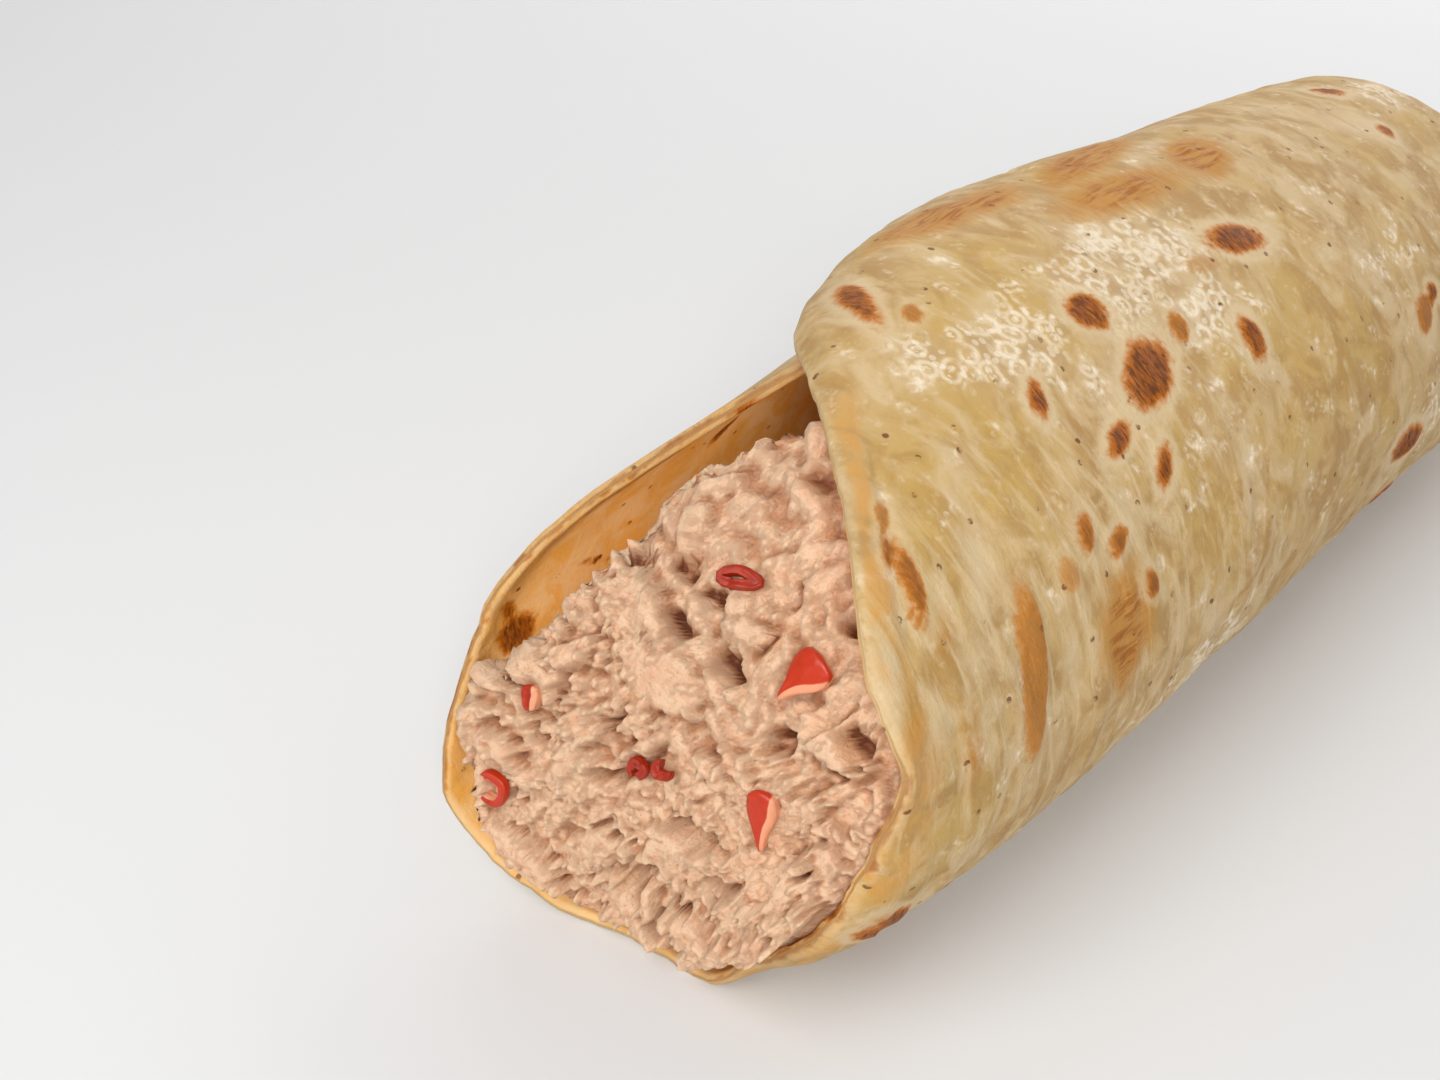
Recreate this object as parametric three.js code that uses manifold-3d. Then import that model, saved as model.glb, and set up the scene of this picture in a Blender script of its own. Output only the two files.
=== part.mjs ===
// A tuna chapati wrap: one thin round flatbread rolled a little more than once round a craggy tuna filling
// that holds pieces of red pepper. The roll lies on its side with its open end towards -Y.
// Millimetres, +Z up, the roll runs along Y, and the floor is z = 0.
// A place on the bread is given by its unrolled angle: 0 is the +X side, 90 the top, 180 the -X side and
// 270 the bottom. The bread starts at 60 under the flap and goes round once more to its free edge at 528.
import * as THREE from 'three';
import { mergeVertices } from 'three/addons/utils/BufferGeometryUtils.js';
import { ImprovedNoise } from 'three/addons/math/ImprovedNoise.js';
import Module from 'manifold-3d';

// Driving dimensions.
const LENGTH = 180;
const BREAD_THICKNESS = 1.6;
const GAP = 0.3;
const START_ANGLE = 60;
const END_ANGLE = 528;
const HALF_WIDTH_FRONT = 27.5;
const HALF_WIDTH_MIDDLE = 28;
const HALF_WIDTH_BACK = 22;
const MIDDLE_STATION = 80;
const HEIGHT_SHARE = 0.95;
const FLAP_SWELL = 5.2;
const LIP_INSET = 1.8;
const RIM_CURL = 3.6;
const RIM_CURL_DEPTH = 4.5;
const FLAT_SINK = 1.2;
const FLAT_BLEND = 0.6;
const FRONT_CREST = -1.4;

// Where the roll's own axis and its station 0 lie, so that the origin is under the middle of the whole.
const ROLL_CENTRE_X = 1.2;
const FRONT_STATION = -89.47;

// The filling's front leans back as it rises, and stands off the bread's wall on the -X side.
const FILLING_FOOT = 4.6;
const FILLING_LEAN = 29;
const FILLING_TOP = 50;
const FILLING_SKEW = 0.17;
const WALL_DEPTH = 30;
const BACK_INSET = 3;
const BACK_LEAN = 17;
const FILLING_CLEARANCE = 0.5;
const FILLING_SLUMP = 6;
const CORE_HEIGHT = 27;
const CRAG_HEIGHT = 2.2;

// Flakes of tuna that stand out of the two ends.
const FRONT_FLAKES = 36;
const BACK_FLAKES = 20;
const FLAKE_REACH = 0.84;
const FLAKE_SEED = 7;
const GOLDEN_ANGLE = 137.5;

// Pieces of red pepper, by where they sit across (x) and up (z) an end, with their size as cut.
const PEPPER_THICKNESS = 1.5;
const PEPPER_ROUNDING = 0.42;
const PEPPER_PROUD = 0.5;
const PEPPER_GAP = 0.38;
const FRONT_PEPPERS = [
  { x: 0.3, z: 41.3, wide: 5.6, tall: 2.8, bend: 4, turn: 23, tilt: 10 },
  { x: 11.7, z: 36.6, wide: 5.2, tall: 6, bend: 5, turn: -20, tilt: 0 },
  { x: -15.4, z: 26.3, wide: 2.2, tall: 3, bend: 4, turn: 15, tilt: 0 },
  { x: -17.8, z: 14.9, wide: 3.6, tall: 4.4, bend: 3.5, turn: 60, tilt: 0 },
  { x: -1.2, z: 24, wide: 2.6, tall: 2.8, bend: 4, turn: 0, tilt: 8 },
  { x: 2.3, z: 25.6, wide: 2.4, tall: 2.8, bend: 4, turn: 30, tilt: -8 },
  { x: 13.2, z: 24.2, wide: 6.8, tall: 3.4, bend: 6, turn: 105, tilt: 0 },
];
const BACK_PEPPERS = [
  { x: -8, z: 31, wide: 5, tall: 4, bend: 5, turn: 40, tilt: 5 },
  { x: 9, z: 19, wide: 4.4, tall: 3, bend: 4, turn: -30, tilt: 0 },
  { x: 5, z: 37, wide: 3, tall: 2.6, bend: 4, turn: 10, tilt: 8 },
  { x: -10, z: 13, wide: 5.4, tall: 3, bend: 5, turn: 80, tilt: 0 },
];

// How finely each body is cut up.
const STEP_ANGLE = 7.2;
const BREAD_ROWS = 20;
const FRONT_RINGS = 9;
const SIDE_RINGS = 10;
const BACK_RINGS = 6;

const BREAD = new THREE.MeshStandardMaterial({ color: 0xd9be8c, roughness: 0.75, metalness: 0 });
const TUNA = new THREE.MeshStandardMaterial({ color: 0xdcb8a0, roughness: 0.55, metalness: 0 });
const PEPPER = new THREE.MeshStandardMaterial({ color: 0xd8301f, roughness: 0.35, metalness: 0 });

const wasm = await Module();
wasm.setup();
const { degToRad, smoothstep, lerp, seededRandom } = THREE.MathUtils;
const noise = new ImprovedNoise();

// Zero below -blend, the value itself above blend, and a soft bend between the two.
function softRamp(value, blend) {
  if (value < -blend) return 0;
  return value > blend ? value : (value + blend) ** 2 / (4 * blend);
}

// The bread's front edge. It leans back over the -X side, crests low on that side and climbs along the flap.
function frontRim(angle) {
  const leftWall = 57 * (1 - smoothstep(angle, 90, 174)) + 11.4 * (1 - smoothstep(angle, 164, 216));
  const rightWall = 7.7 * smoothstep(angle, 207, 287) + 6.7 * smoothstep(angle, 321, 380);
  const flap = 0.44 * softRamp(angle - 404, 12) + 0.3 * softRamp(angle - 482, 10);
  return FRONT_CREST + leftWall + rightWall + flap;
}

// The bread's back edge, cut back a little over the top and along the flap.
function backRim(angle) {
  const top = 22 * (1 - smoothstep(angle, 90, 200));
  const flap = 7 * smoothstep(angle, 330, 420) + 0.16 * softRamp(angle - 418, 12);
  return LENGTH - top - flap;
}

// The barrel shape of the roll: full in the middle and narrower at the back.
function halfWidth(y) {
  const front = Math.max(0, (MIDDLE_STATION - y) / MIDDLE_STATION);
  const back = Math.max(0, (y - MIDDLE_STATION) / (LENGTH - MIDDLE_STATION));
  const frontLoss = (HALF_WIDTH_MIDDLE - HALF_WIDTH_FRONT) * front ** 2;
  return HALF_WIDTH_MIDDLE - frontLoss - (HALF_WIDTH_MIDDLE - HALF_WIDTH_BACK) * back ** 1.6;
}

// Low unevenness all round, alike in every layer.
function waves(angle, y) {
  const turn = degToRad(angle);
  const broad = 0.35 * Math.sin(2 * turn + y / 21) + 0.25 * Math.sin(3 * turn - y / 13 + 1);
  return broad + 0.15 * Math.sin(5 * turn + y / 9);
}

// How far the flap swells over the first layer, which comes out to meet it further back.
function swell(angle, y) {
  if (angle < 300) {
    const side = smoothstep(angle, 55, 120) * (1 - smoothstep(angle, 140, 200));
    return FLAP_SWELL * side * smoothstep(y, 84, 112);
  }
  const side = smoothstep(angle, 415, 480) * (1 - smoothstep(angle, 500, 560));
  return FLAP_SWELL * side * smoothstep(y - frontRim(angle), 0, 23);
}

// The lip on the -X side stands in a little, and the lower right rim curls in over the filling.
function drawnIn(angle, y) {
  const lip = smoothstep(angle, 85, 120) * (1 - smoothstep(angle, 190, 240)) * (1 - smoothstep(y, 27, 72));
  const side = smoothstep(angle, 285, 310) * (1 - smoothstep(angle, 360, 385));
  return LIP_INSET * lip + RIM_CURL * side * Math.exp(-Math.max(0, y - frontRim(angle)) / RIM_CURL_DEPTH);
}

// A place in the bread. Depth is 1 on its outer face, 0 in its middle and -1 on its inner face, and beyond
// that it reaches into the filling. The underside is pressed flat on the floor.
function inRoll(angle, y, depth, windBack = 0) {
  const wind = ((BREAD_THICKNESS + GAP) * (angle - START_ANGLE - windBack)) / 360;
  const grown = wind + waves(angle, y) + swell(angle, y) - drawnIn(angle, y);
  const width = halfWidth(y);
  const height = width * HEIGHT_SHARE;
  const radiusX = width + grown;
  const radiusZ = height + grown;
  const bottomWind = ((BREAD_THICKNESS + GAP) * (270 - START_ANGLE)) / 360;
  const centreZ = height + bottomWind + BREAD_THICKNESS / 2 - FLAT_SINK;
  const turn = degToRad(angle);
  const normal = new THREE.Vector2(Math.cos(turn) / radiusX, Math.sin(turn) / radiusZ).normalize();
  const reach = (depth * BREAD_THICKNESS) / 2;
  const lowest = (BREAD_THICKNESS * (1 - depth)) / 2;
  const z = centreZ + radiusZ * Math.sin(turn) + normal.y * reach;
  return new THREE.Vector3(
    radiusX * Math.cos(turn) + normal.x * reach,
    y,
    lowest + softRamp(z - lowest, FLAT_BLEND),
  );
}

// Rows close up towards the front edge, where the bread bends most.
function breadGeometry() {
  const turn = END_ANGLE - START_ANGLE;
  const geometry = new THREE.BoxGeometry(1, 1, 2, Math.round(turn / STEP_ANGLE), BREAD_ROWS, 1);
  const position = geometry.attributes.position;
  for (let i = 0; i < position.count; i++) {
    const angle = START_ANGLE + turn * (position.getX(i) + 0.5);
    const along = (position.getY(i) + 0.5) ** 1.6;
    const y = lerp(frontRim(angle), backRim(angle), along);
    const place = inRoll(angle, y, -position.getZ(i));
    position.setXYZ(i, place.x, place.y, place.z);
  }
  return geometry;
}

// The filling's outside, in the same winding as the bread's inner face. It eases back before the bread's first
// edge instead of stepping round it, and slumps away from the flap near the open end.
function fillingWall(angle, y) {
  const windBack = 360 * smoothstep(angle, 372, 418);
  const slumpSide = smoothstep(angle, 60, 100) * (1 - smoothstep(angle, 108, 172));
  const slump = FILLING_SLUMP * slumpSide * (1 - smoothstep(y, 50, 85));
  return inRoll(angle, y, -1 - (2 * (FILLING_CLEARANCE + slump)) / BREAD_THICKNESS, windBack);
}

// The two ends of the filling as stations over a place (x, z). The front one leans back as it rises.
const front = {
  station: (x, z) => FILLING_FOOT + FILLING_LEAN * (z / FILLING_TOP) ** 3 + FILLING_SKEW * x,
  wallDepth: (angle) => WALL_DEPTH * smoothstep(angle, 110, 150) * (1 - smoothstep(angle, 168, 202)),
  outward: -1,
};
const back = {
  station: (x, z) => LENGTH - BACK_INSET - BACK_LEAN * (z / FILLING_TOP) ** 2,
  wallDepth: () => 0,
  outward: 1,
};

function outwardNormal(end, x, z) {
  const step = 0.5;
  const alongX = (end.station(x + step, z) - end.station(x - step, z)) / (2 * step);
  const alongZ = (end.station(x, z + step) - end.station(x, z - step)) / (2 * step);
  return new THREE.Vector3(-alongX * end.outward, end.outward, -alongZ * end.outward).normalize();
}

// Where an end meets the wall: the station depends on the wall's place, and the place on the station.
function edgePlace(end, angle) {
  let place = fillingWall(angle, end.station(0, CORE_HEIGHT));
  for (let i = 0; i < 5; i++) {
    place = fillingWall(angle, end.station(place.x, place.z) + end.wallDepth(angle));
  }
  return place;
}

// A place on an end, share 0 in its middle and 1 at the wall, raised and sunk by the crags of packed flakes.
function endPlace(end, x, z, share, wallDepth) {
  const place = new THREE.Vector3(x, end.station(x, z) + wallDepth * smoothstep(share, 0.74, 1), z);
  const broad = noise.noise(x / 6.5, place.y / 6.5, z / 6.5);
  const fine = noise.noise(x / 2.9 + 9, place.y / 2.9, z / 2.9);
  const height = CRAG_HEIGHT * (broad + 0.6 * fine) * (1 - smoothstep(share, 0.84, 1));
  return place.addScaledVector(outwardNormal(end, x, z), height);
}

function endRing(end, angle, share) {
  const edge = edgePlace(end, angle);
  return endPlace(end, edge.x * share, lerp(CORE_HEIGHT, edge.z, share), share, end.wallDepth(angle));
}

// The core of the filling: rings over its front, along its side and over its back.
function fillingCore() {
  const rings = FRONT_RINGS + SIDE_RINGS + BACK_RINGS;
  const geometry = new THREE.SphereGeometry(1, 360 / STEP_ANGLE, rings);
  const position = geometry.attributes.position;
  const uv = geometry.attributes.uv;
  for (let i = 0; i < position.count; i++) {
    const ring = Math.round((1 - uv.getY(i)) * rings);
    const pole = ring === 0 || ring === rings;
    const turn = pole ? 0 : (Math.round((uv.getX(i) * 360) / STEP_ANGLE) * STEP_ANGLE) % 360;
    const angle = START_ANGLE + turn;
    let place;
    if (ring <= FRONT_RINGS) place = endRing(front, angle, ring / FRONT_RINGS);
    else if (ring >= FRONT_RINGS + SIDE_RINGS) place = endRing(back, angle, (rings - ring) / BACK_RINGS);
    else {
      const along = (ring - FRONT_RINGS) / SIDE_RINGS;
      place = fillingWall(angle, lerp(edgePlace(front, angle).y, edgePlace(back, angle).y, along));
    }
    position.setXYZ(i, place.x, place.y, place.z);
  }
  return geometry;
}

// Turns and places a small body on an end of the filling: its x runs across, its y up the slope and its z out.
function settle(geometry, end, x, z, turn, tilt, proud) {
  const out = outwardNormal(end, x, z);
  const across = new THREE.Vector3(1, 0, 0).cross(out).cross(out).normalize().multiplyScalar(-1);
  const up = out.clone().cross(across);
  const place = endPlace(end, x, z, 0, 0).addScaledVector(out, proud);
  const own = new THREE.Matrix4().makeRotationZ(degToRad(turn));
  own.multiply(new THREE.Matrix4().makeRotationX(degToRad(tilt)));
  const frame = new THREE.Matrix4().makeBasis(across, up, out).setPosition(place);
  return geometry.applyMatrix4(frame.multiply(own));
}

// A cut piece of pepper: a rounded slab, bent as the pepper's wall was. Grown, it is the hollow that holds it.
function pepperGeometry({ wide, tall, bend }, grow) {
  const geometry = new THREE.BoxGeometry(2, 2, 2, 5, 3, 1);
  const position = geometry.attributes.position;
  for (let i = 0; i < position.count; i++) {
    const u = position.getX(i);
    const v = position.getY(i);
    const x = u * Math.sqrt(1 - PEPPER_ROUNDING * v * v) * (wide / 2 + grow);
    const y = v * Math.sqrt(1 - PEPPER_ROUNDING * u * u) * (tall / 2 + grow);
    const z = position.getZ(i) * (PEPPER_THICKNESS / 2 + grow) - (x * x) / (2 * bend);
    position.setXYZ(i, x, y, z);
  }
  return geometry;
}

function placedPepper(end, piece, grow) {
  return settle(pepperGeometry(piece, grow), end, piece.x, piece.z, piece.turn, piece.tilt, PEPPER_PROUD);
}

// A torn flake of tuna: a long flattened lump with an uneven outline.
function flakeGeometry(long, wide, thick, seed) {
  const geometry = new THREE.DodecahedronGeometry(1, 0);
  const position = geometry.attributes.position;
  for (let i = 0; i < position.count; i++) {
    const corner = new THREE.Vector3().fromBufferAttribute(position, i);
    const ragged = 1 + 0.45 * noise.noise(corner.x * 1.7 + seed, corner.y * 1.7, corner.z * 1.7);
    position.setXYZ(
      i,
      (corner.x * ragged * long) / 2,
      (corner.y * ragged * wide) / 2,
      (corner.z * ragged * thick) / 2,
    );
  }
  return geometry;
}

// Flakes spread evenly over an end by the golden angle, clear of the pepper and of the wall.
function flakesOn(end, count, peppers) {
  const flakes = [];
  for (let i = 0; i < count; i++) {
    const share = FLAKE_REACH * Math.sqrt((i + 0.5) / count);
    const edge = edgePlace(end, START_ANGLE + ((i * GOLDEN_ANGLE) % 360));
    const x = edge.x * share;
    const z = lerp(CORE_HEIGHT, edge.z, share);
    const long = lerp(4.5, 8.5, seededRandom());
    const wide = long * lerp(0.35, 0.6, seededRandom());
    const thick = lerp(1.6, 3, seededRandom());
    const turn = 360 * seededRandom();
    const tilt = lerp(-25, 25, seededRandom());
    const clear = peppers.every((p) => Math.hypot(p.x - x, p.z - z) > (long + p.wide) / 2);
    if (clear) flakes.push(settle(flakeGeometry(long, wide, thick, i * 3.7), end, x, z, turn, tilt, 0.3));
  }
  return flakes;
}

function solid(geometry) {
  const bare = geometry.clone();
  bare.deleteAttribute('normal');
  bare.deleteAttribute('uv');
  const merged = mergeVertices(bare, 1e-4);
  return new wasm.Manifold(
    new wasm.Mesh({
      numProp: 3,
      vertProperties: merged.attributes.position.array,
      triVerts: new Uint32Array(merged.index.array),
    }),
  );
}

function geometryOf(body) {
  const mesh = body.getMesh();
  const geometry = new THREE.BufferGeometry();
  geometry.setAttribute('position', new THREE.BufferAttribute(mesh.vertProperties, 3));
  geometry.setIndex(new THREE.BufferAttribute(mesh.triVerts, 1));
  geometry.computeVertexNormals();
  return geometry;
}

// A hollow may cut a crumb off a flake, and the crumb is left out.
function largestOf(body) {
  return body.decompose().reduce((best, one) => (one.volume() > best.volume() ? one : best));
}

function fillingGeometry() {
  seededRandom(FLAKE_SEED);
  let body = solid(fillingCore());
  for (const flake of flakesOn(front, FRONT_FLAKES, FRONT_PEPPERS)) body = body.add(solid(flake));
  for (const flake of flakesOn(back, BACK_FLAKES, BACK_PEPPERS)) body = body.add(solid(flake));
  for (const piece of FRONT_PEPPERS) body = body.subtract(solid(placedPepper(front, piece, PEPPER_GAP)));
  for (const piece of BACK_PEPPERS) body = body.subtract(solid(placedPepper(back, piece, PEPPER_GAP)));
  return geometryOf(largestOf(body));
}

const wrap = new THREE.Group();
wrap.position.set(ROLL_CENTRE_X, FRONT_STATION, 0);

function addPiece(name, geometry, material) {
  const mesh = new THREE.Mesh(geometry, material);
  mesh.name = name;
  wrap.add(mesh);
}

addPiece('chapati', breadGeometry(), BREAD);
addPiece('tuna_filling', fillingGeometry(), TUNA);
FRONT_PEPPERS.forEach((piece, i) => {
  addPiece(`pepper_front_${i + 1}`, placedPepper(front, piece, 0), PEPPER);
});
BACK_PEPPERS.forEach((piece, i) => {
  addPiece(`pepper_back_${i + 1}`, placedPepper(back, piece, 0), PEPPER);
});

export default wrap;
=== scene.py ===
import math
import random

import bmesh
import bpy
import numpy as np
from mathutils import Matrix, Vector, noise


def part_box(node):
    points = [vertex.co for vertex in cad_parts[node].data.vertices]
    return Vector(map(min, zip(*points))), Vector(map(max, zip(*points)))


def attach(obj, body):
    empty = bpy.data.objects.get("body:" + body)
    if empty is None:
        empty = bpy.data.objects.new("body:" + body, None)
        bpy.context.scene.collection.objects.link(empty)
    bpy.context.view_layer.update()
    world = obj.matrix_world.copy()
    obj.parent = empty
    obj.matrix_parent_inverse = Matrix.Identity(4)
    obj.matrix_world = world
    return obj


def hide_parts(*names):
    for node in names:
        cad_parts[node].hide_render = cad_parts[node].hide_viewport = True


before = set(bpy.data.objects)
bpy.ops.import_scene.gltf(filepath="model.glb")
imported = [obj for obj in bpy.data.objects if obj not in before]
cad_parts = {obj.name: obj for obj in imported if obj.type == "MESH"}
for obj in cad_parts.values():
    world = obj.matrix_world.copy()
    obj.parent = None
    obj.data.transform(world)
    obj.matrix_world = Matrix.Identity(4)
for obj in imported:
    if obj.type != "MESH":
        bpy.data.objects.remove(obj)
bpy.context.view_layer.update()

# The view on the open end of the wrap, from the right and above, and the pale matt table that it lies on. A
# large soft lamp stands high in front, a smaller one near the eye lights the open end, and two more behind
# and on the left keep the shadow on the table soft.
MM = 0.001
VIEW_AIM = Vector((1.14, -71.09, 47.5)) * MM
VIEW_TURN = math.radians(42.65)
VIEW_RISE = math.radians(34.95)
VIEW_DISTANCE = 183.2 * MM
VIEW_LENS = 46.46
# Each lamp's place in m, its power in W and its size in m.
LAMPS = {
    "front_lamp": (Vector((0.001, -0.488, 0.528)), 2.5, 0.45),
    "low_front_lamp": (Vector((0.366, -0.448, 0.412)), 1.95, 0.18),
    "back_lamp": (Vector((0.001, 0.519, 0.305)), 1.4, 0.45),
    "left_lamp": (Vector((-0.416, 0.347, 0.305)), 1.0, 0.45),
}
ROOM_GREY = 0.275
TABLE_HALF_WIDTH = 3.0
TABLE_COLOUR = (226, 226, 226)


def linear(colour):
    """An RGB colour of 0 to 255, as the shaders take it."""
    return [((c / 255 + 0.055) / 1.055) ** 2.4 if c > 10 else c / 3295 for c in colour] + [1.0]


def new_material(name, roughness):
    material = bpy.data.materials.new(name)
    material.use_nodes = True
    shader = material.node_tree.nodes["Principled BSDF"]
    shader.inputs["Roughness"].default_value = roughness
    return material, material.node_tree, shader


def object_from(mesh, name):
    for face in mesh.faces:
        face.smooth = True
    thing = bpy.data.objects.new(name, bpy.data.meshes.new(name))
    mesh.to_mesh(thing.data)
    mesh.free()
    bpy.context.collection.objects.link(thing)
    return thing


def look_from(thing, place, aim):
    thing.location = place
    thing.rotation_euler = (place - aim).to_track_quat("Z", "Y").to_euler()
    bpy.context.collection.objects.link(thing)


towards_eye = Vector((
    math.sin(VIEW_TURN) * math.cos(VIEW_RISE),
    -math.cos(VIEW_TURN) * math.cos(VIEW_RISE),
    math.sin(VIEW_RISE),
))
camera = bpy.data.objects.new("camera", bpy.data.cameras.new("camera"))
camera.data.lens = VIEW_LENS
camera.data.clip_start = 5 * MM
look_from(camera, VIEW_AIM + towards_eye * VIEW_DISTANCE, VIEW_AIM)
bpy.context.scene.camera = camera

for name, (place, power, size) in LAMPS.items():
    lamp = bpy.data.objects.new(name, bpy.data.lights.new(name, "AREA"))
    lamp.data.size = size
    lamp.data.energy = power
    look_from(lamp, place, VIEW_AIM)

room = bpy.data.worlds.new("room")
room.use_nodes = True
room.node_tree.nodes["Background"].inputs["Color"].default_value = (ROOM_GREY, ROOM_GREY, ROOM_GREY, 1)
bpy.context.scene.world = room
bpy.context.scene.view_settings.view_transform = "Standard"

table_material, _, table_shader = new_material("table", 0.9)
table_shader.inputs["Base Color"].default_value = linear(TABLE_COLOUR)
table_shader.inputs["Specular IOR Level"].default_value = 0.1
table_mesh = bmesh.new()
bmesh.ops.create_grid(table_mesh, x_segments=1, y_segments=1, size=TABLE_HALF_WIDTH)
table = object_from(table_mesh, "table")
table.data.materials.append(table_material)

# The chapati: one thin round of wheat dough, baked on a hot plate and rolled a little more than once round
# the filling, so that its free edge laps over the top and down the left side. It is 1.6 mm thick and pressed
# flat where it lies.
LENGTH = 180
THICKNESS = 1.6
GAP = 0.3
HALF_WIDTH_FRONT = 27.5
HALF_WIDTH_MIDDLE = 28.0
HALF_WIDTH_BACK = 22.0
MIDDLE_STATION = 80
FRONT_TAPER = 2
BACK_TAPER = 1.6
HEIGHT_SHARE = 0.95
FLAP_SWELL = 5.2
LIP_INSET = 1.8
RIM_CURL = 3.6
RIM_CURL_DEPTH = 4.5
FLAT_SINK = 1.2
FLAT_BLEND = 0.6
TABLE_CLEARANCE = 0.03
ROLL_PLACE = np.array([1.2, -89.47, 0.0])
SHEET_RADIUS = 28.8
EDGE_ROUNDING = 0.8
EDGE_THINNEST = 0.22
EDGE_STEPS = (0, 0.06, 0.16, 0.32, 0.54, 0.8)
BREAD_SEED = 11
INNER_FACE_AWAY = 400
# A place on the bread is its unrolled angle, 0 on the right, 90 on top and 270 below, and its station back
# from the open end in mm.
START_ANGLE = 60
END_ANGLE = 528
# Each rim is set back by steps in mm, from one angle to another, and by slopes in mm for each degree from
# an angle on, with how softly they begin.
FRONT_CREST = -1.4
FRONT_STEPS = ((57, 174, 90), (11.4, 216, 164), (7.7, 207, 287), (6.7, 321, 380))
FRONT_SLOPES = ((0.44, 404, 12), (0.3, 482, 10))
BACK_STEPS = ((22, 200, 90), (7, 330, 420))
BACK_SLOPES = ((0.16, 418, 12),)
# Waves round the roll: height in mm, how many times round, mm back for each radian, and where they begin.
WAVES = ((0.35, 2, 21, 0), (0.25, 3, -13, 1), (0.15, 5, 9, 0))
# Angles between which a form sets in, and between which it ends.
UNDER_FLAP = (55, 120, 140, 200)
FLAP_TOP = (415, 480, 500, 560)
LEFT_LIP = (85, 120, 190, 240)
LOWER_RIGHT = (285, 310, 360, 385)


def smooth(low, high, value):
    share = np.clip((value - low) / (high - low), 0, 1)
    return share * share * (3 - 2 * share)


def soft_ramp(value, blend):
    """Zero below -blend, the value itself above blend, and a soft bend between the two."""
    return np.where(value < -blend, 0, np.where(value > blend, value, (value + blend) ** 2 / (4 * blend)))


def span(value, none, full, ending, gone):
    """Rises smoothly from 0 to 1 and falls to 0 again."""
    return smooth(none, full, value) * (1 - smooth(ending, gone, value))


def set_back(angle, steps, slopes):
    stepped = sum(back * smooth(none, full, angle) for back, none, full in steps)
    return stepped + sum(slope * soft_ramp(angle - begin, blend) for slope, begin, blend in slopes)


def front_rim(angle):
    return FRONT_CREST + set_back(angle, FRONT_STEPS, FRONT_SLOPES)


def back_rim(angle):
    return LENGTH - set_back(angle, BACK_STEPS, BACK_SLOPES)


def half_width(y):
    front = np.clip((MIDDLE_STATION - y) / MIDDLE_STATION, 0, None)
    back = np.clip((y - MIDDLE_STATION) / (LENGTH - MIDDLE_STATION), 0, None)
    front_loss = (HALF_WIDTH_MIDDLE - HALF_WIDTH_FRONT) * front**FRONT_TAPER
    back_loss = (HALF_WIDTH_MIDDLE - HALF_WIDTH_BACK) * back**BACK_TAPER
    return HALF_WIDTH_MIDDLE - (front_loss + back_loss)


def waves(angle, y):
    turn = np.radians(angle)
    return sum(high * np.sin(lobes * turn + y / long + begin) for high, lobes, long, begin in WAVES)


def swell(angle, y):
    """How far the flap stands over the first layer, which comes out to meet it further back."""
    under = span(angle, *UNDER_FLAP) * smooth(84, 112, y)
    flap = span(angle, *FLAP_TOP) * smooth(0, 23, y - front_rim(angle))
    return FLAP_SWELL * np.where(angle < 300, under, flap)


def drawn_in(angle, y):
    """The lip on the left stands in a little, and the lower right rim curls in over the filling."""
    lip = span(angle, *LEFT_LIP) * (1 - smooth(27, 72, y))
    from_rim = np.clip(y - front_rim(angle), 0, None)
    return LIP_INSET * lip + RIM_CURL * span(angle, *LOWER_RIGHT) * np.exp(-from_rim / RIM_CURL_DEPTH)


def in_roll(angle, y, reach, wind_back=0.0):
    """Places in the roll, in mm: reach is the distance out from the middle of the bread's thickness."""
    wind = (THICKNESS + GAP) * (angle - START_ANGLE - wind_back) / 360
    grown = wind + waves(angle, y) + swell(angle, y) - drawn_in(angle, y)
    width = half_width(y)
    height = width * HEIGHT_SHARE
    centre = height + (THICKNESS + GAP) * (270 - START_ANGLE) / 360 + THICKNESS / 2 - FLAT_SINK
    turn = np.radians(angle)
    across = np.cos(turn) / (width + grown)
    up = np.sin(turn) / (height + grown)
    long = np.hypot(across, up)
    lowest = np.clip(THICKNESS / 2 - reach, TABLE_CLEARANCE, None)
    z = centre + (height + grown) * np.sin(turn) + up / long * reach
    x = (width + grown) * np.cos(turn) + across / long * reach
    return np.stack([x, y + 0 * x, lowest + soft_ramp(z - lowest, FLAT_BLEND)], axis=-1)


def spread(spacing, low, high):
    """Steps from low to high that are each as wide as spacing says there."""
    fine = np.linspace(low, high, 2000)
    count = np.concatenate([[0], np.cumsum(np.diff(fine) / spacing((fine[1:] + fine[:-1]) / 2))])
    return np.interp(np.linspace(0, count[-1], int(round(count[-1])) + 1), count, fine)


def noise_at(*coordinates):
    places = np.stack(np.broadcast_arrays(*coordinates), axis=-1).reshape(-1, 3)
    return np.fromiter((noise.noise(p) for p in places.tolist()), float, len(places))


def inside_marks(angle, y, marks):
    """How far inside the nearest of some oval marks each place is, in mm, and that mark's tone."""
    best = np.full(len(angle), -50.0)
    tone = np.zeros(len(angle))
    for at, station, half_long, half_wide, turn, shade in marks:
        along = np.radians(angle - at) * SHEET_RADIUS
        back = y - station
        turned = math.radians(turn)
        u = (along * math.cos(turned) + back * math.sin(turned)) / half_long
        v = (back * math.cos(turned) - along * math.sin(turned)) / half_wide
        inside = (1 - np.hypot(u, v)) * min(half_long, half_wide) ** 0.5 * 1.2
        tone = np.where(inside > best, shade, tone)
        best = np.maximum(best, inside)
    return best, tone


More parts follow.
